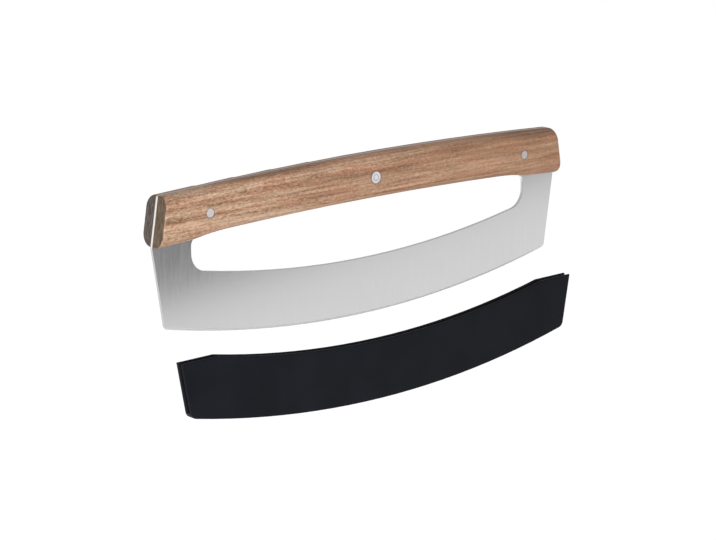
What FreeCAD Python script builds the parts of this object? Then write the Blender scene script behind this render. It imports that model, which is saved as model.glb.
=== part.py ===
import FreeCAD, Part
import math
import os

# Rocking pizza knife: one steel plate is blade, uprights and full tang, two wooden scales make the handle,
# two pins and a two-piece rivet hold them, and a slotted guard slips over the cutting edge from below.
# X runs along the knife, -Y is the front, +Z is up. The origin is in the middle of the centre rivet.
# Sizes are in millimetres and degrees.

# Driving dimensions of the handle
overall_length = 350.0
handle_height = 29.9
spine_radius = 3450.0
underside_radius = 3300.0
flare_radius = 200.0
flare_reach = 27.0
foot_drop = 1.9
handle_end_lean = 9.6
scale_thickness = 9.6
scale_top_round = 8.0
scale_bottom_round = 8.5
handle_end_round = 1.5

# Driving dimensions of the steel plate
plate_thickness = 2.0
blade_depth = 38.3
edge_radius = 748.0
blade_side_lean = 8.9
blade_corner_round = 3.0
upright_width = 30.0
window_height = 40.1
window_radius = 714.0
window_upper_round = 6.0
window_lower_round = 12.5
window_edge_break = 0.3
bevel_height = 1.6
edge_land = 0.3

# Driving dimensions of the pins and the rivet
pin_inset = 38.0
pin_drop = 3.3
pin_diameter = 6.0
rivet_head_diameter = 8.0
rivet_head_length = 3.0
rivet_tube_diameter = 6.0
rivet_stem_diameter = 4.0
pin_clearance = 0.04

# Driving dimensions of the guard
guard_wall = 2.3
guard_floor = 3.1
guard_reveal = 1.0
guard_overhang = 0.8
guard_end_lean = 10.5
guard_corner_round = 5.0
guard_edge_round = 1.0
slot_clearance = 0.5
slot_lead_in = 0.6
pull_down = 57.3
pull_aside = 18.0

# How far cutting tools run past the faces that they cut, the least flat that a rounding leaves of its wall,
# how much wider a bend is than the rounding along it, and how near two places count as the same
beyond = 5.0
least_flat = 0.5
bend_margin = 1.5
same_place = 0.001

# Levels and arc centres, all on the plane of symmetry
half_length = overall_length / 2
half_plate = plate_thickness / 2
half_handle = half_plate + scale_thickness
rivet_height = handle_height / 2
underside_z = -rivet_height
spine_z = underside_z + handle_height
spine_centre_z = spine_z - spine_radius
underside_centre_z = underside_z - underside_radius
window_z = underside_z - window_height
window_centre_z = window_z + window_radius
edge_z = window_z - blade_depth
edge_centre_z = edge_z + edge_radius
half_window = half_length - upright_width


def point(x, z, y=0.0):
    return FreeCAD.Vector(x, y, z)


def arched(centre, radius, x):
    # Height of an arc that stands above its centre, as the handle's underside does
    return centre[1] + math.sqrt(radius ** 2 - (x - centre[0]) ** 2)


def rocked(centre_z, radius, x):
    # Height of an arc that hangs below its centre, as the cutting edge does
    return centre_z - math.sqrt(radius ** 2 - x ** 2)


def partway(a, b, share):
    # Place at this share of the way from a to b
    return a[0] + (b[0] - a[0]) * share, a[1] + (b[1] - a[1]) * share


def off_both(a, from_a, b, from_b):
    # Place at these distances from two centres, to the right of the way from a to b
    apart = math.hypot(b[0] - a[0], b[1] - a[1])
    foot = (from_a ** 2 - from_b ** 2 + apart ** 2) / (2 * apart)
    height = math.sqrt(from_a ** 2 - foot ** 2)
    x, z = partway(a, b, foot / apart)
    return x + (b[1] - a[1]) * height / apart, z - (b[0] - a[0]) * height / apart


def meet(start_x, start_z, lean, rise, centre_z, radius):
    # Where a line that leans inwards from a start on the right side meets a circle above or below it
    dx = -math.sin(math.radians(lean))
    dz = rise * math.cos(math.radians(lean))
    from_centre = start_z - centre_z
    b = start_x * dx + from_centre * dz
    c = start_x ** 2 + from_centre ** 2 - radius ** 2
    along = -b + math.sqrt(b ** 2 - c)
    return start_x + along * dx, start_z + along * dz


# Right half of the handle's underside: an arch runs into a steeper flare, and that bends into a foot, which
# follows the arch again further down
bottom_rounding = min(scale_bottom_round, scale_thickness - least_flat)
bend_radius = bottom_rounding + bend_margin
foot_radius = underside_radius - foot_drop
arch_centre = (0, underside_centre_z)
flare_x = half_window - flare_reach
flare_start = (flare_x, arched(arch_centre, underside_radius, flare_x))
flare_centre = partway(flare_start, arch_centre, flare_radius / underside_radius)
bend_centre = off_both(arch_centre, foot_radius + bend_radius, flare_centre, flare_radius + bend_radius)
bend_start = partway(bend_centre, flare_centre, bend_radius / (flare_radius + bend_radius))
foot_start = partway(bend_centre, arch_centre, bend_radius / (foot_radius + bend_radius))

# Corners of the plate on the right side
shoulder = (half_length, arched(arch_centre, foot_radius, half_length))
spine_corner = meet(*shoulder, handle_end_lean, 1, spine_centre_z, spine_radius)
blade_corner = meet(*shoulder, blade_side_lean, -1, edge_centre_z, edge_radius)


def line(a, b):
    return Part.LineSegment(point(*a), point(*b)).toShape()


def arc(a, middle, b):
    return Part.Arc(point(*a), point(*middle), point(*b)).toShape()


def mirrored(corner):
    return (-corner[0], corner[1])


def both_sides(edges):
    return edges + [e.mirror(point(0, 0), FreeCAD.Vector(1, 0, 0)) for e in edges]


def arch():
    return arc(mirrored(flare_start), (0, underside_z), flare_start)


def upright_arc(centre, radius, a, b):
    # Arc from a to b that stands above its centre
    middle_x = (a[0] + b[0]) / 2
    return arc(a, (middle_x, arched(centre, radius, middle_x)), b)


def bend():
    # Arc of the underside from the flare to the foot
    middle_x = (bend_start[0] + foot_start[0]) / 2
    middle_z = rocked(bend_centre[1], bend_radius, middle_x - bend_centre[0])
    return arc(bend_start, (middle_x, middle_z), foot_start)


def board(edges, y_from, y_to):
    # A flat piece whose outline is these edges, in any order
    face = Part.Face(Part.Wire(Part.sortEdges(edges)[0]))
    face.translate(FreeCAD.Vector(0, y_from, 0))
    return face.extrude(FreeCAD.Vector(0, y_to - y_from, 0))


def slab(edges, half_thickness):
    # A flat piece with this outline, centred on the plane of the blade
    return board(edges, -half_thickness, half_thickness)


def round_corners(solid, corners, radius):
    # Rounds the edges that cross the slab at these corners and at their mirror images
    wanted = [point(*c) for c in corners] + [point(*mirrored(c)) for c in corners]
    near = [
        e
        for e in solid.Edges
        if abs(e.tangentAt(e.FirstParameter).y) > 1 - same_place
        and any(math.hypot(e.CenterOfMass.x - w.x, e.CenterOfMass.z - w.z) < same_place for w in wanted)
    ]
    return solid.makeFillet(radius, near)


def cross_cylinder(x, z, radius, y_from, y_to):
    return Part.makeCylinder(radius, y_to - y_from, point(x, z, y_from), FreeCAD.Vector(0, 1, 0))


def turned(profile, centre_z, reach, radius):
    # A flat profile at mid-length, turned both ways about a crosswise axis until it spans the reach
    angle = math.degrees(math.asin((reach + beyond) / radius))
    axis = FreeCAD.Vector(0, 1, 0)
    centre = point(0, centre_z)
    face = Part.Face(profile)
    face.rotate(centre, axis, -angle)
    return face.revolve(centre, axis, 2 * angle)


# Places of the two pins and of the centre rivet, which is at mid-height of the handle
pin_x = half_length - pin_inset
rivet_z = underside_z + rivet_height
pin_z = rivet_z - pin_drop


def bevel_tool():
    # Wedge that grinds one side of the cutting edge, with its slope carried on past the plate at both ends
    run = half_plate - edge_land / 2
    slope = bevel_height / run
    top = FreeCAD.Vector(0, -half_plate - beyond, edge_z + bevel_height + slope * beyond)
    foot = FreeCAD.Vector(0, -edge_land / 2 + run, edge_z - slope * run)
    outer = FreeCAD.Vector(0, -half_plate - beyond, foot.z)
    return turned(Part.makePolygon([top, foot, outer, top]), edge_centre_z, half_length, edge_radius)


def window_tool():
    upper = (half_window, arched(flare_centre, flare_radius, half_window))
    lower = (half_window, rocked(window_centre_z, window_radius, half_window))
    sides = both_sides([upright_arc(flare_centre, flare_radius, flare_start, upper), line(upper, lower)])
    outline = [arch(), arc(lower, (0, window_z), mirrored(lower))] + sides
    tool = slab(outline, half_plate + beyond)
    room = (upper[1] - lower[1] - least_flat) / (window_upper_round + window_lower_round)
    share = min(1.0, room)
    tool = round_corners(tool, [upper], share * window_upper_round)
    return round_corners(tool, [lower], share * window_lower_round)


def window_rim(plate):
    # Edges of the window on both faces of the plate
    inside = half_window + half_plate
    return [
        e
        for e in plate.Edges
        if abs(abs(e.CenterOfMass.y) - half_plate) < same_place
        and e.BoundBox.XMin > -inside
        and e.BoundBox.XMax < inside
        and e.BoundBox.ZMax < underside_z + window_edge_break
        and e.BoundBox.ZMin > window_z - window_edge_break
    ]


def make_blade():
    outline = [
        arc(mirrored(spine_corner), (0, spine_z), spine_corner),
        line(spine_corner, shoulder),
        line(shoulder, blade_corner),
        arc(blade_corner, (0, edge_z), mirrored(blade_corner)),
        line(mirrored(blade_corner), mirrored(shoulder)),
        line(mirrored(shoulder), mirrored(spine_corner)),
    ]
    plate = slab(outline, half_plate)
    plate = round_corners(plate, [spine_corner], handle_end_round)
    plate = round_corners(plate, [blade_corner], blade_corner_round)
    plate = plate.cut(window_tool())
    plate = plate.makeFillet(window_edge_break, window_rim(plate))
    front_bevel = bevel_tool()
    rear_bevel = front_bevel.mirror(point(0, 0), FreeCAD.Vector(0, 1, 0))
    plate = plate.cut(front_bevel).cut(rear_bevel)
    for x in (-pin_x, pin_x):
        plate = plate.cut(cross_cylinder(x, pin_z, pin_diameter / 2 + pin_clearance, -beyond, beyond))
    return plate.cut(cross_cylinder(0, rivet_z, rivet_tube_diameter / 2 + pin_clearance, -beyond, beyond))


def upper_bar():
    # A bar along the spine, rounded outside at its top and running past the handle below
    inner = -half_plate
    outer = -half_handle
    rounding = min(scale_top_round, scale_thickness - least_flat)
    diagonal = 1 - math.sqrt(0.5)
    far_z = shoulder[1] - beyond
    round_start = FreeCAD.Vector(0, outer + rounding, spine_z)
    round_middle = FreeCAD.Vector(0, outer + diagonal * rounding, spine_z - diagonal * rounding)
    round_end = FreeCAD.Vector(0, outer, spine_z - rounding)
    outer_far = FreeCAD.Vector(0, outer, far_z)
    inner_far = FreeCAD.Vector(0, inner, far_z)
    inner_near = FreeCAD.Vector(0, inner, spine_z)
    profile = Part.Wire([
        Part.LineSegment(inner_near, round_start).toShape(),
        Part.Arc(round_start, round_middle, round_end).toShape(),
        Part.LineSegment(round_end, outer_far).toShape(),
        Part.LineSegment(outer_far, inner_far).toShape(),
        Part.LineSegment(inner_far, inner_near).toShape(),
    ])
    return turned(profile, spine_centre_z, half_length, spine_radius)


def lower_bar():
    # A bar along the underside, rounded outside at its bottom and running past the handle elsewhere
    end_x = half_length + beyond
    foot_end = (end_x, arched(arch_centre, foot_radius, end_x))
    top = (end_x, spine_z + beyond)
    sides = both_sides([
        upright_arc(flare_centre, flare_radius, flare_start, bend_start),
        bend(),
        upright_arc(arch_centre, foot_radius, foot_start, foot_end),
        line(foot_end, top),
    ])
    bar = board([arch(), line(top, mirrored(top))] + sides, -half_handle, -half_plate)
    underside = [
        e
        for e in bar.Edges
        if e.BoundBox.YMax < -half_handle + same_place and e.BoundBox.ZMax < underside_z + least_flat
    ]
    return bar.makeFillet(bottom_rounding, underside)


def handle_ends():
    # Slab between the two leaning end planes of the handle, taller than the handle
    slope = math.tan(math.radians(handle_end_lean))
    high = spine_z + beyond
    low = shoulder[1] - beyond
    top = (half_length - slope * (high - shoulder[1]), high)
    foot = (half_length - slope * (low - shoulder[1]), low)
    outline = [
        line(mirrored(top), top),
        line(top, foot),
        line(foot, mirrored(foot)),
        line(mirrored(foot), mirrored(top)),
    ]
    return slab(outline, half_handle + beyond)


def end_contour(scale):
    # Outer edges of the two end faces, without the ones against the tang
    return [
        e
        for f in scale.Faces
        if isinstance(f.Surface, Part.Plane) and abs(f.normalAt(0, 0).x) > abs(f.normalAt(0, 0).z)
        for e in f.Edges
        if e.CenterOfMass.y < -half_plate - same_place
    ]


def make_front_scale():
    scale = upper_bar().common(lower_bar()).common(handle_ends())
    scale = scale.makeFillet(handle_end_round, end_contour(scale))
    for x in (-pin_x, pin_x):
        scale = scale.cut(
            cross_cylinder(x, pin_z, pin_diameter / 2 + pin_clearance, -half_handle - beyond, beyond)
        )
    tube_hole = cross_cylinder(
        0, rivet_z, rivet_tube_diameter / 2 + pin_clearance, -half_handle - beyond, beyond
    )
    head_hole = cross_cylinder(
        0,
        rivet_z,
        rivet_head_diameter / 2 + pin_clearance,
        -half_handle - beyond,
        -half_handle + rivet_head_length,
    )
    return scale.cut(tube_hole).cut(head_hole)


def make_pin(x):
    return cross_cylinder(x, pin_z, pin_diameter / 2, -half_handle, half_handle)


def make_rivet_tube():
    # Front half of the centre rivet: a head and a tube that reaches the other head
    head = cross_cylinder(0, rivet_z, rivet_head_diameter / 2, -half_handle, -half_handle + rivet_head_length)
    tube_end = half_handle - rivet_head_length
    tube = cross_cylinder(0, rivet_z, rivet_tube_diameter / 2, -half_handle, tube_end)
    bore = cross_cylinder(
        0, rivet_z, rivet_stem_diameter / 2 + pin_clearance, -half_handle - beyond, tube_end + beyond
    )
    return head.fuse(tube).cut(bore).removeSplitter()


def make_rivet_stem():
    # Rear half of the centre rivet: a head and a stem that ends flush in the front head
    head = cross_cylinder(0, rivet_z, rivet_head_diameter / 2, half_handle - rivet_head_length, half_handle)
    stem = cross_cylinder(0, rivet_z, rivet_stem_diameter / 2, -half_handle, half_handle)
    return head.fuse(stem).removeSplitter()


# Outline of the guard where it is seated on the blade, on the right side
guard_top_radius = window_radius + guard_reveal
guard_top_z = window_z - guard_reveal
floor_radius = edge_radius + slot_clearance
guard_bottom_radius = floor_radius + guard_floor
guard_bottom_z = edge_centre_z - guard_bottom_radius
half_slot = half_plate + slot_clearance
half_guard = half_slot + guard_wall
tab_z = rocked(window_centre_z, guard_top_radius, half_window)
tab_inner = (half_window, tab_z)
guard_slope = math.tan(math.radians(guard_end_lean))
tab_outer = (blade_corner[0] + guard_overhang + guard_slope * (tab_z - blade_corner[1]), tab_z)
guard_corner = meet(*tab_outer, guard_end_lean, -1, edge_centre_z, guard_bottom_radius)


def slot_tool():
    # Space for the blade: open at the top and at both ends, with a floor that follows the cutting edge
    reach = tab_outer[0] + beyond
    floor_end = (reach, rocked(edge_centre_z, floor_radius, reach))
    top = (reach, tab_z + beyond)
    outline = [
        arc(mirrored(floor_end), (0, edge_z - slot_clearance), floor_end),
        line(floor_end, top),
        line(top, mirrored(top)),
        line(mirrored(top), mirrored(floor_end)),
    ]
    return slab(outline, half_slot)


def make_guard():
    outline = [
        line(mirrored(tab_outer), mirrored(tab_inner)),
        arc(mirrored(tab_inner), (0, guard_top_z), tab_inner),
        line(tab_inner, tab_outer),
        line(tab_outer, guard_corner),
        arc(guard_corner, (0, guard_bottom_z), mirrored(guard_corner)),
        line(mirrored(guard_corner), mirrored(tab_outer)),
    ]
    guard = slab(outline, half_guard)
    guard = round_corners(guard, [guard_corner], guard_corner_round)
    rim = [e for e in guard.Edges if abs(abs(e.CenterOfMass.y) - half_guard) < same_place]
    guard = guard.makeFillet(guard_edge_round, rim)
    guard = guard.cut(slot_tool())
    mouth = [
        e
        for e in guard.Edges
        if abs(abs(e.CenterOfMass.y) - half_slot) < same_place
        and e.BoundBox.YLength < same_place
        and e.BoundBox.ZMin > guard_top_z - same_place
    ]
    guard = guard.makeChamfer(slot_lead_in, mouth)
    guard.translate(FreeCAD.Vector(pull_aside, 0, -pull_down))
    return guard


front_scale = make_front_scale()
pieces = {
    "blade": make_blade(),
    "front_scale": front_scale,
    "rear_scale": front_scale.mirror(point(0, 0), FreeCAD.Vector(0, 1, 0)),
    "left_pin": make_pin(-pin_x),
    "right_pin": make_pin(pin_x),
    "centre_rivet_tube": make_rivet_tube(),
    "centre_rivet_stem": make_rivet_stem(),
    "blade_guard": make_guard(),
}

os.makedirs("parts", exist_ok=True)
for name, shape in pieces.items():
    shape.exportStep("parts/" + name + ".step")
    box = shape.optimalBoundingBox()
    print(
        name,
        "valid" if shape.isValid() else "INVALID",
        "solids %d" % len(shape.Solids),
        "volume %.1f" % shape.Volume,
        "x %.2f..%.2f y %.2f..%.2f z %.2f..%.2f"
        % (box.XMin, box.XMax, box.YMin, box.YMax, box.ZMin, box.ZMax),
    )

travel = math.hypot(pull_down, pull_aside)
print("guard travel %.3f mm along (%.5f, 0, %.5f)" % (travel, -pull_aside / travel, pull_down / travel))
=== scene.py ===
import math

import bpy
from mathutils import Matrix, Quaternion, Vector


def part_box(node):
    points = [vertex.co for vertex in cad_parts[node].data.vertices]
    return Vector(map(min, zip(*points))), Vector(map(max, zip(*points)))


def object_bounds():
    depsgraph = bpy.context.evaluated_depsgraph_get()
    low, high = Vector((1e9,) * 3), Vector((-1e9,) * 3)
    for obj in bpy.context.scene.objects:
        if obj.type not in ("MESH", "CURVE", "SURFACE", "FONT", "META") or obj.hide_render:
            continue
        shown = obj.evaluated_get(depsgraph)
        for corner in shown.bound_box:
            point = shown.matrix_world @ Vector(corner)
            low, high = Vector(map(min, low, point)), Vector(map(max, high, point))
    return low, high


# Looks of the rocking pizza knife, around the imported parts. Metres, X along the knife, -Y front, +Z up.
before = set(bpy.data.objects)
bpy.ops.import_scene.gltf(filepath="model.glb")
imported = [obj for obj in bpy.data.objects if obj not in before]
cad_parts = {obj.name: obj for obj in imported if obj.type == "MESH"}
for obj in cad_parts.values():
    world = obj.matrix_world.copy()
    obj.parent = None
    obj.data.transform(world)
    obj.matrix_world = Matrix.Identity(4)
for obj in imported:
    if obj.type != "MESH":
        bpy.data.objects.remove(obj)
cad_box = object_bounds()
MM = 0.001

# Camera at the photograph's viewing angle
CAMERA_AZIMUTH = -41.22
CAMERA_ELEVATION = 13.88
CAMERA_ROLL = -0.25
CAMERA_DISTANCE = 1.5887
CAMERA_TARGET = Vector((-0.0067, 0.0002, -0.0631))
CAMERA_SENSOR = 36.0
CAMERA_LENS = 120.87
CAMERA_CLIP = (0.05, 50.0)

# Stage: a white table below the knife and a room that is dim overhead
FLOOR_DROP = 0.80
FLOOR_HALF = 6.0
FLOOR_ALBEDO = 0.5
FLOOR_GLOW = 0.86
ROOM_TOP = 0.75
ROOM_FADE = (0.02, 0.22)
WORLD_FILL = 0.30

# A grey card in front of the knife. It shows only in the mirror of the steel, and shades its upper part.
CARD_FRONT = 0.25
CARD_ENDS = (-0.05, 0.50)
CARD_LOW = -0.137
CARD_SLOPE = 0.115
CARD_HEIGHT = 0.12
CARD_TONE = 0.25

# Lamps: place, aim, size and power. The table lamp lights the knife from below.
LAMPS = {
    "key": (Vector((-0.70, -1.30, -0.15)), Vector((0.0, 0.0, -0.05)), 0.8, 19.5),
    "top": (Vector((-0.5, -0.3, 1.1)), Vector((0.0, 0.0, 0.0)), 0.9, 5.0),
    "table": (Vector((-0.2, -0.1, -0.93)), Vector((-0.2, -0.1, 0.0)), 1.4, 3.0),
    "rear": (Vector((-1.1, 1.2, -0.05)), Vector((0.0, 0.0, -0.05)), 0.8, 13.0),
}

# Layers of noise: waves per metre along X, Y and Z, detail, and roughness of the detail
WOOD_SWAY = ((11.0, 60.0, 60.0), 2.0, 0.5)
WOOD_BAND = ((7.0, 140.0, 140.0), 2.0, 0.5)
WOOD_STREAK = ((16.0, 500.0, 500.0), 3.0, 0.6)
WOOD_FIBRE = ((380.0, 1000.0, 1000.0), 3.0, 0.7)
WOOD_PORE = ((260.0, 1500.0, 1500.0), 2.0, 0.5)
WOOD_BLUSH = ((26.0, 170.0, 170.0), 2.0, 0.5)
WOOD_END_GRAIN = ((300.0, 900.0, 200.0), 4.0, 0.75)
STEEL_BRUSH = ((4200.0, 900.0, 60.0), 3.0, 0.6)
STEEL_LINE = ((700.0, 200.0, 22.0), 2.0, 0.5)
STEEL_CLOUD = ((22.0, 22.0, 30.0), 3.0, 0.5)
PIN_SCUFF = ((260.0, 900.0, 2200.0), 3.0, 0.6)
GUARD_GRAIN = ((2400.0, 2400.0, 2400.0), 2.0, 0.5)
GUARD_CLOUD = ((28.0, 28.0, 28.0), 3.0, 0.5)

# Noise mostly lies between these levels, which take the first and the last of a pair of values
NOISE_SPAN = (0.3, 0.7)

# Wood along the handle: the stretch over which it changes, and its values at the left and right ends
WOOD_STRETCH = (-0.17, 0.17)
FLECK_SHARES = (0.41, 0.30)
CONTRASTS = (1.75, 0.95)
LEFT_TINT = (0.90, 0.90, 0.89)
RIGHT_TINT = (0.905, 0.86, 0.82)

# Wood all over: colours from dark to light, bands, sway, blush, pores and finish. Relief is depth, strength.
WOOD_COLOURS = [
    (0.36, (0.205, 0.112, 0.066)),
    (0.45, (0.335, 0.198, 0.126)),
    (0.53, (0.430, 0.268, 0.175)),
    (0.64, (0.585, 0.420, 0.300)),
]
BAND_SHARE = 0.26
SWAY_REACH = 4.0 * MM
BLUSH_TINT = (1.03, 0.93, 0.89)
BLUSH_LEVELS = (0.42, 0.62)
PORE_COLOUR = (0.15, 0.080, 0.048)
PORE_LEVELS = (0.38, 0.30)
PORE_SHARE = 0.5
FIBRE_RELIEF = 0.5
WOOD_RELIEF = (0.05 * MM, 0.6)
WOOD_ROUGHNESS = 0.45
STREAK_ROUGHNESS = 0.2
WOOD_SHEEN = 0.25

# Wood in single places, by where they lie and which way they face. Limits run from no effect to all of it.
# The crown tint is painted shade: it darkens upward-facing wood towards the right end.
CROWN_STRETCH = (0.05, 0.17)
CROWN_RISE = (0.3, 0.85)
CROWN_SHADE_TINT = (0.66, 0.66, 0.70)
# The edge tint is a painted highlight along the edges of the left end, not wear.
EDGE_HIGHLIGHT_TURN = (-0.05, -0.45)
EDGE_HIGHLIGHT_FACING = (0.3, 0.6)
EDGE_HIGHLIGHT_TINT = (1.14, 1.20, 1.28)
LEFT_END_TURN = (-0.2, -0.6)
LEFT_END_FACING = (0.75, 0.4)
RIGHT_END_TURN = (0.1, 0.6)
END_GRAIN_LEVELS = (0.42, 0.58)
SHADE_REACH = (1.0 * MM, 0.2 * MM)
SHADE_SHARE = 0.6
SHADE_COLOUR = (0.12, 0.085, 0.07)

# The stretch of board that each scale is cut from, and the dark and light colours of its end grain
FRONT_BOARD = ((0.31, 0.07, 0.02), (0.075, 0.048, 0.029), (0.176, 0.125, 0.081))
REAR_BOARD = ((1.27, 0.22, 0.11), (0.052, 0.040, 0.034), (0.130, 0.106, 0.091))

# Blade: colours of its faces, its walls and bevel, its spine in the handle, and a painted highlight on the
# ends of its tang
STEEL_COLOURS = ((0.595, 0.595, 0.597), (0.695, 0.695, 0.697))
WALL_COLOUR = (0.62, 0.62, 0.62)
SPINE_COLOUR = (0.36, 0.35, 0.34)
TANG_END_HIGHLIGHT = (0.98, 0.93, 0.88)

# Blade: shares of brushing, lines and clouding, finish, and limits of the places that differ
STEEL_SHARES = (0.5, 0.3, 0.2)
STEEL_ROUGHNESS = (0.19, 0.26)
WALL_ROUGHNESS = 0.2
STEEL_RELIEF = (0.006 * MM, 0.5)
WALL_FACING = (0.85, 0.60)
BEVEL_DROP = (-0.2, -0.4)
FOOT_FADE = (-1.6 * MM, 0.4 * MM)
TANG_END_TURN = (0.6, 0.9)
TANG_END_HALF = (0.90 * MM, 0.70 * MM)

# Pins and rivet: dark and light colours, and radii of the dark seams round them and in the rivet
PIN_COLOURS = {
    "left_pin": ((0.52, 0.47, 0.46), (0.70, 0.65, 0.64)),
    # The right pin's colours are the left pin's made darker: painted shade.
    "right_pin": ((0.48, 0.42, 0.41), (0.64, 0.58, 0.57)),
}
TUBE_COLOURS = ((0.64, 0.60, 0.61), (0.86, 0.82, 0.83))
STEM_COLOURS = ((0.60, 0.60, 0.67), (0.82, 0.82, 0.90))
PIN_SEAMS = (3.0 * MM,)
RIVET_SEAMS = (2.0 * MM, 4.0 * MM)

# Pins and rivet: the seams' look, the faint rings of turning, and finish
SEAM_REACH = (0.55 * MM, 0.1 * MM)
SEAM_SHARE = 0.55
SEAM_COLOUR = (0.22, 0.20, 0.20)
TURNING_PITCH = 0.35 * MM
TURNING_SHARE = 0.08
PIN_ROUGHNESS = (0.52, 0.64)
PIN_RELIEF = (0.01 * MM, 0.5)
PIN_METAL = 0.4

# Guard: colours, shares of grain and clouding, painted light that makes the slot paler by its half-width,
# and finish
GUARD_COLOURS = ((0.0040, 0.0045, 0.0070), (0.0085, 0.0092, 0.0125))
GUARD_LEVELS = (0.38, 0.62)
GUARD_SHARES = (0.4, 0.6)
SLOT_PAINTED_LIGHT = (0.016, 0.016, 0.018)
SLOT_HALF = (1.7 * MM, 1.5 * MM)
GUARD_ROUGHNESS = (0.55, 0.68)
GUARD_RELIEF = (0.03 * MM, 0.5)
GUARD_SHEEN = 0.10


def bare_material(name):
    material = bpy.data.materials.new(name)
    material.use_nodes = True
    material.node_tree.nodes.clear()
    return material


class Recipe:
    """One material's nodes. Each call adds nodes and returns the socket that carries their result."""

    def __init__(self, name):
        self.material = bare_material(name)
        self.tree = self.material.node_tree
        self.coordinates = self.add("ShaderNodeTexCoord")

    def add(self, kind, inputs=None, **settings):
        node = self.tree.nodes.new(kind)
        for key, value in settings.items():
            setattr(node, key, value)
        for key, value in (inputs or {}).items():
            self.feed(node.inputs[key], value)
        return node

    def feed(self, socket, value):
        if isinstance(value, bpy.types.NodeSocket):
            self.tree.links.new(value, socket)
        else:
            socket.default_value = value

    def place(self):
        return self.coordinates.outputs["Object"]

    def normal(self):
        return self.coordinates.outputs["Normal"]

    def vector(self, operation, a, b):
        node = self.add("ShaderNodeVectorMath", {0: a, 1: b}, operation=operation)
        return node.outputs["Value" if operation == "DISTANCE" else "Vector"]

    def maths(self, operation, a, b=0.0):
        return self.add("ShaderNodeMath", {0: a, 1: b}, operation=operation).outputs["Value"]

    def part(self, vector, axis):
        return self.add("ShaderNodeSeparateXYZ", {0: vector}).outputs[axis]

    def size(self, vector, axis):
        """One part of a vector, without its sign."""
        return self.maths("ABSOLUTE", self.part(vector, axis))

    def off_axis(self, centre):
        """Distance from the line along Y through this point."""
        flat = self.vector("MULTIPLY", self.place(), (1.0, 0.0, 1.0))
        return self.vector("DISTANCE", flat, (centre.x, 0.0, centre.z))

    def noise(self, vector, layer, output="Fac"):
        waves, detail, roughness = layer
        stretched = self.vector("MULTIPLY", vector, waves)
        inputs = {"Vector": stretched, "Scale": 1.0, "Detail": detail, "Roughness": roughness}
        return self.add("ShaderNodeTexNoise", inputs).outputs[output]

    def blend(self, layers, shares):
        """Sum of the layers, each times its share."""
        total = 0.0
        for layer, share in zip(layers, shares):
            total = self.maths("ADD", self.maths("MULTIPLY", layer, share), total)
        return total

    def step(self, value, low, high, to_low=0.0, to_high=1.0):
        inputs = {"Value": value, "From Min": low, "From Max": high, "To Min": to_low, "To Max": to_high}
        return self.add("ShaderNodeMapRange", inputs, interpolation_type="SMOOTHSTEP").outputs["Result"]

    def ramp(self, value, stops):
        node = self.add("ShaderNodeValToRGB", {"Fac": value})
        elements = node.color_ramp.elements
        while len(elements) < len(stops):
            elements.new(1.0)
        for element, (position, colour) in zip(elements, stops):
            element.position = position
            element.color = (*colour, 1.0)
        return node.outputs["Color"]

    def mix(self, share, a, b, blend="MIX"):
        node = self.add("ShaderNodeMix", data_type="RGBA", blend_type=blend)
        sockets = [s for s in node.inputs if s.enabled]
        for socket, value in zip(sockets, (share, a, b)):
            self.feed(socket, (*value, 1.0) if isinstance(value, tuple) else value)
        return next(s for s in node.outputs if s.enabled)

    def tint(self, share, colour, by):
        return self.mix(share, colour, by, "MULTIPLY")

    def bump(self, height, depth, strength):
        inputs = {"Height": height, "Distance": depth, "Strength": strength}
        return self.add("ShaderNodeBump", inputs).outputs["Normal"]

    def surface(self, **inputs):
        named = {key.replace("_", " ").title().replace("Ior", "IOR"): value for key, value in inputs.items()}
        shader = self.add("ShaderNodeBsdfPrincipled", named)
        output = self.add("ShaderNodeOutputMaterial", {"Surface": shader.outputs[0]})
        output.is_active_output = True
        return self.material


def middle(node):
    low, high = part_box(node)
    return (low + high) / 2


def levels(limits, colours):
    """Stops of a ramp, from a pair of limits and a pair of colours."""
    return list(zip(limits, colours))


def wood_tone(r, band, streak, fibre):
    """Tone of the figure. From left to right, short flecks turn into long streaks and contrast falls."""
    along = r.part(r.place(), "X")
    flecks = r.step(along, *WOOD_STRETCH, *FLECK_SHARES)
    streaks = r.maths("SUBTRACT", 1.0 - BAND_SHARE, flecks)
    tone = r.blend((band, streak, fibre), (BAND_SHARE, streaks, flecks))
    contrast = r.step(along, *WOOD_STRETCH, *CONTRASTS)
    return r.maths("ADD", r.maths("MULTIPLY", r.maths("SUBTRACT", tone, 0.5), contrast), 0.5)


def wood_ends(r, colour, place, end_grain):
    """Painted shade on the crown towards the right end, a painted highlight along the left end's edges, and
    end grain on both ends.
    """
    turn = r.part(r.normal(), "X")
    facing = r.size(r.normal(), "Y")
    # Painted shade on the upward-facing wood towards the right end
    far_end = r.step(r.part(r.place(), "X"), *CROWN_STRETCH)
    crown_shade = r.maths("MULTIPLY", r.step(r.part(r.normal(), "Z"), *CROWN_RISE), far_end)
    colour = r.tint(crown_shade, colour, CROWN_SHADE_TINT)
    # Painted highlight along the edges of the left end
    edge_highlight = r.maths("MULTIPLY", r.step(turn, *EDGE_HIGHLIGHT_TURN), r.step(facing, *EDGE_HIGHLIGHT_FACING))
    colour = r.tint(edge_highlight, colour, EDGE_HIGHLIGHT_TINT)
    left_end = r.maths("MULTIPLY", r.step(turn, *LEFT_END_TURN), r.step(facing, *LEFT_END_FACING))
    end = r.maths("MAXIMUM", left_end, r.step(turn, *RIGHT_END_TURN))
    rings = r.ramp(r.noise(place, WOOD_END_GRAIN), levels(END_GRAIN_LEVELS, end_grain))
    return r.mix(end, colour, rings)


def pin_shades(r, colour):
    """Dark rings in the wood, close round the pins and the rivet."""
    for pin in ("left_pin", "right_pin", "centre_rivet_tube"):
        low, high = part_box(pin)
        radius = (high.x - low.x) / 2
        limits = [radius + reach for reach in SHADE_REACH]
        ring = r.step(r.off_axis(middle(pin)), *limits, 0.0, SHADE_SHARE)
        colour = r.mix(ring, colour, SHADE_COLOUR)
    return colour


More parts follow.
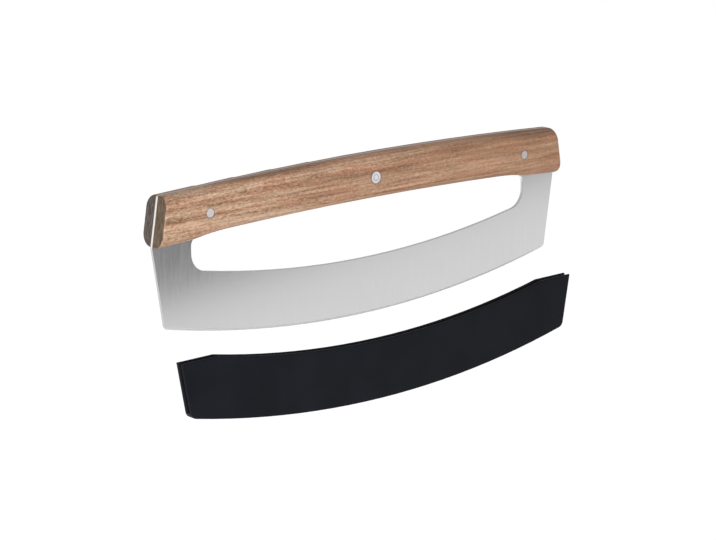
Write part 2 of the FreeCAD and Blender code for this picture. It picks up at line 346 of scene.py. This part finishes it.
def wood(name, shift, *end_grain):
    """Oiled brown hardwood with grain along X. The shift picks another stretch of the board."""
    r = Recipe(name)
    place = r.vector("ADD", r.place(), shift)
    sway = r.vector("SUBTRACT", r.noise(place, WOOD_SWAY, "Color"), (0.5, 0.5, 0.5))
    board = r.vector("ADD", place, r.vector("MULTIPLY", sway, (0.0, SWAY_REACH, SWAY_REACH)))
    band = r.noise(board, WOOD_BAND)
    streak = r.noise(board, WOOD_STREAK)
    fibre = r.noise(board, WOOD_FIBRE)
    pores = r.step(r.noise(board, WOOD_PORE), *PORE_LEVELS)
    blush = r.step(r.noise(board, WOOD_BLUSH), *BLUSH_LEVELS)

    colour = r.ramp(wood_tone(r, band, streak, fibre), WOOD_COLOURS)
    colour = r.tint(blush, colour, BLUSH_TINT)
    drift = r.step(r.part(r.place(), "X"), *WOOD_STRETCH)
    colour = r.tint(1.0, colour, r.mix(drift, LEFT_TINT, RIGHT_TINT))
    colour = r.mix(r.maths("MULTIPLY", pores, PORE_SHARE), colour, PORE_COLOUR)
    colour = wood_ends(r, colour, place, end_grain)
    colour = pin_shades(r, colour)

    rough = r.maths("ADD", r.maths("MULTIPLY", streak, STREAK_ROUGHNESS), WOOD_ROUGHNESS)
    height = r.maths("SUBTRACT", r.maths("MULTIPLY", fibre, FIBRE_RELIEF), pores)
    normal = r.bump(height, *WOOD_RELIEF)
    return r.surface(base_color=colour, roughness=rough, specular_ior_level=WOOD_SHEEN, normal=normal)


def blade_steel(name):
    """Satin steel with fine lines across the blade, duller walls and bevel, and a painted highlight on the
    ends of the tang.
    """
    r = Recipe(name)
    brush = r.noise(r.place(), STEEL_BRUSH)
    lines = r.noise(r.place(), STEEL_LINE)
    cloud = r.noise(r.place(), STEEL_CLOUD)
    tone = r.blend((brush, lines, cloud), STEEL_SHARES)
    colour = r.ramp(tone, levels(NOISE_SPAN, STEEL_COLOURS))

    # Walls, which are dark on the spine in the handle, and the bevel
    wall = r.step(r.size(r.normal(), "Y"), *WALL_FACING)
    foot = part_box("front_scale")[0].z
    limits = [foot + fade for fade in FOOT_FADE]
    in_handle = r.step(r.part(r.place(), "Z"), *limits)
    colour = r.mix(wall, colour, r.mix(in_handle, WALL_COLOUR, SPINE_COLOUR))
    bevel = r.step(r.part(r.normal(), "Z"), *BEVEL_DROP)
    colour = r.mix(bevel, colour, WALL_COLOUR)

    # Ends of the tang, with a painted highlight in the middle of the plate's thickness
    tang_end = r.maths("MULTIPLY", r.step(r.size(r.normal(), "X"), *TANG_END_TURN), in_handle)
    core = r.step(r.size(r.place(), "Y"), *TANG_END_HALF)
    colour = r.mix(r.maths("MULTIPLY", tang_end, core), colour, TANG_END_HIGHLIGHT)

    rough = r.step(tone, *NOISE_SPAN, *STEEL_ROUGHNESS)
    dull = r.maths("MULTIPLY", r.maths("MAXIMUM", bevel, wall), WALL_ROUGHNESS)
    normal = r.bump(brush, *STEEL_RELIEF)
    return r.surface(base_color=colour, metallic=1.0, roughness=r.maths("ADD", rough, dull), normal=normal)


def rivet_steel(name, node, colours, seams):
    """Bright pin end, sanded flush with the wood, with faint rings about its own axis and dark seams."""
    r = Recipe(name)
    away = r.off_axis(middle(node))
    rings = r.maths("SINE", r.maths("MULTIPLY", away, 2 * math.pi / TURNING_PITCH))
    scuff = r.noise(r.place(), PIN_SCUFF)
    tone = r.maths("ADD", r.maths("MULTIPLY", rings, TURNING_SHARE), scuff)
    colour = r.ramp(tone, levels(NOISE_SPAN, colours))
    for seam in seams:
        off_seam = r.maths("ABSOLUTE", r.maths("SUBTRACT", away, seam))
        colour = r.mix(r.step(off_seam, *SEAM_REACH, 0.0, SEAM_SHARE), colour, SEAM_COLOUR)
    rough = r.step(scuff, *NOISE_SPAN, *PIN_ROUGHNESS)
    normal = r.bump(tone, *PIN_RELIEF)
    return r.surface(base_color=colour, metallic=PIN_METAL, roughness=rough, normal=normal)


def guard_plastic(name):
    """Matte black moulding with a fine spark-eroded grain, faint clouding, and painted light that makes its
    shaded slot paler.
    """
    r = Recipe(name)
    grain = r.noise(r.place(), GUARD_GRAIN)
    cloud = r.noise(r.place(), GUARD_CLOUD)
    tone = r.blend((grain, cloud), GUARD_SHARES)
    colour = r.ramp(tone, levels(GUARD_LEVELS, GUARD_COLOURS))
    # Painted light: the shaded slot is made paler
    colour = r.mix(r.step(r.size(r.place(), "Y"), *SLOT_HALF), colour, SLOT_PAINTED_LIGHT)
    rough = r.step(tone, *NOISE_SPAN, *GUARD_ROUGHNESS)
    normal = r.bump(grain, *GUARD_RELIEF)
    return r.surface(base_color=colour, roughness=rough, specular_ior_level=GUARD_SHEEN, normal=normal)


def dress(node, material):
    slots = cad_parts[node].data.materials
    slots.clear()
    slots.append(material)


def make_lamp(name, place, aim, size, power):
    data = bpy.data.lights.new(name, "AREA")
    data.shape = "DISK"
    data.size = size
    data.energy = power
    lamp = bpy.data.objects.new(name, data)
    lamp.location = place
    lamp.rotation_mode = "QUATERNION"
    lamp.rotation_quaternion = (aim - place).to_track_quat("-Z", "Y")
    lamp.visible_camera = False
    lamp.visible_glossy = False
    bpy.context.scene.collection.objects.link(lamp)


def seen(tree, first, *others):
    """1 for rays of any of these kinds, such as the camera's, and 0 for the rest."""
    path = tree.nodes.new("ShaderNodeLightPath")
    total = path.outputs[first]
    for name in others:
        either = tree.nodes.new("ShaderNodeMath")
        either.operation = "MAXIMUM"
        tree.links.new(total, either.inputs[0])
        tree.links.new(path.outputs[name], either.inputs[1])
        total = either.outputs["Value"]
    return total


def make_panel(name, corners, material):
    mesh = bpy.data.meshes.new(name)
    mesh.from_pydata(corners, [], [(0, 1, 2, 3)])
    mesh.materials.append(material)
    panel = bpy.data.objects.new(name, mesh)
    bpy.context.scene.collection.objects.link(panel)
    return panel


def make_card():
    material = bare_material("card_grey")
    tree = material.node_tree
    glow = tree.nodes.new("ShaderNodeEmission")
    glow.inputs["Strength"].default_value = CARD_TONE
    output = tree.nodes.new("ShaderNodeOutputMaterial")
    tree.links.new(glow.outputs[0], output.inputs["Surface"])
    foot = [(x, -CARD_FRONT, CARD_LOW + CARD_SLOPE * x) for x in CARD_ENDS]
    head = [(x, y, z + CARD_HEIGHT) for x, y, z in reversed(foot)]
    card = make_panel("card", foot + head, material)
    card.visible_camera = False
    card.visible_diffuse = False
    card.visible_shadow = False


def make_floor():
    material = bare_material("floor_white")
    tree = material.node_tree
    diffuse = tree.nodes.new("ShaderNodeBsdfDiffuse")
    diffuse.inputs["Color"].default_value = (FLOOR_ALBEDO, FLOOR_ALBEDO, FLOOR_ALBEDO, 1.0)
    glow = tree.nodes.new("ShaderNodeEmission")
    strength = tree.nodes.new("ShaderNodeMath")
    strength.operation = "MULTIPLY"
    strength.inputs[1].default_value = FLOOR_GLOW
    shown = seen(tree, "Is Camera Ray", "Is Glossy Ray", "Is Transmission Ray")
    tree.links.new(shown, strength.inputs[0])
    tree.links.new(strength.outputs["Value"], glow.inputs["Strength"])
    both = tree.nodes.new("ShaderNodeAddShader")
    tree.links.new(diffuse.outputs[0], both.inputs[0])
    tree.links.new(glow.outputs[0], both.inputs[1])
    output = tree.nodes.new("ShaderNodeOutputMaterial")
    tree.links.new(both.outputs[0], output.inputs["Surface"])
    level = cad_box[0].z - FLOOR_DROP
    h = FLOOR_HALF
    make_panel("floor", [(-h, -h, level), (h, -h, level), (h, h, level), (-h, h, level)], material)


def make_world():
    """White where the camera looks, a soft even fill on the object, and dim overhead for reflections."""
    world = bpy.data.worlds.new("studio")
    bpy.context.scene.world = world
    world.use_nodes = True
    tree = world.node_tree
    tree.nodes.clear()
    direction = tree.nodes.new("ShaderNodeTexCoord")
    split = tree.nodes.new("ShaderNodeSeparateXYZ")
    tree.links.new(direction.outputs["Generated"], split.inputs[0])
    mirror_tone = tree.nodes.new("ShaderNodeMapRange")
    limits = (*ROOM_FADE, 1.0, ROOM_TOP)
    for key, value in zip(("From Min", "From Max", "To Min", "To Max"), limits):
        mirror_tone.inputs[key].default_value = value
    tree.links.new(split.outputs["Z"], mirror_tone.inputs["Value"])
    for_mirror = tree.nodes.new("ShaderNodeMix")
    for_mirror.inputs["A"].default_value = WORLD_FILL
    tree.links.new(seen(tree, "Is Glossy Ray"), for_mirror.inputs["Factor"])
    tree.links.new(mirror_tone.outputs["Result"], for_mirror.inputs["B"])
    for_camera = tree.nodes.new("ShaderNodeMix")
    for_camera.inputs["B"].default_value = 1.0
    tree.links.new(seen(tree, "Is Camera Ray", "Is Transmission Ray"), for_camera.inputs["Factor"])
    tree.links.new(for_mirror.outputs["Result"], for_camera.inputs["A"])
    light = tree.nodes.new("ShaderNodeBackground")
    light.inputs["Color"].default_value = (1.0, 1.0, 1.0, 1.0)
    tree.links.new(for_camera.outputs["Result"], light.inputs["Strength"])
    output = tree.nodes.new("ShaderNodeOutputWorld")
    tree.links.new(light.outputs[0], output.inputs["Surface"])


def make_camera():
    azimuth = math.radians(CAMERA_AZIMUTH)
    elevation = math.radians(CAMERA_ELEVATION)
    level = math.cos(elevation)
    back = Vector((math.sin(azimuth) * level, -math.cos(azimuth) * level, math.sin(elevation)))
    data = bpy.data.cameras.new("camera")
    data.sensor_width = CAMERA_SENSOR
    data.lens = CAMERA_LENS
    data.clip_start, data.clip_end = CAMERA_CLIP
    camera = bpy.data.objects.new("camera", data)
    camera.location = CAMERA_TARGET + back * CAMERA_DISTANCE
    camera.rotation_mode = "QUATERNION"
    roll = Quaternion((0.0, 0.0, 1.0), math.radians(CAMERA_ROLL))
    camera.rotation_quaternion = (-back).to_track_quat("-Z", "Y") @ roll
    bpy.context.scene.collection.objects.link(camera)
    bpy.context.scene.camera = camera


# The knife's and the guard's materials
dress("front_scale", wood("front_wood", *FRONT_BOARD))
dress("rear_scale", wood("rear_wood", *REAR_BOARD))
dress("blade", blade_steel("blade_satin"))
for pin, colours in PIN_COLOURS.items():
    dress(pin, rivet_steel(pin + "_steel", pin, colours, PIN_SEAMS))
dress("centre_rivet_tube", rivet_steel("tube_steel", "centre_rivet_tube", TUBE_COLOURS, RIVET_SEAMS))
dress("centre_rivet_stem", rivet_steel("stem_steel", "centre_rivet_stem", STEM_COLOURS, RIVET_SEAMS))
dress("blade_guard", guard_plastic("guard_black"))

# Stage, light and camera
make_floor()
make_world()
make_card()
for name, lamp in LAMPS.items():
    make_lamp(name, *lamp)
make_camera()
bpy.context.scene.view_settings.view_transform = "Standard"
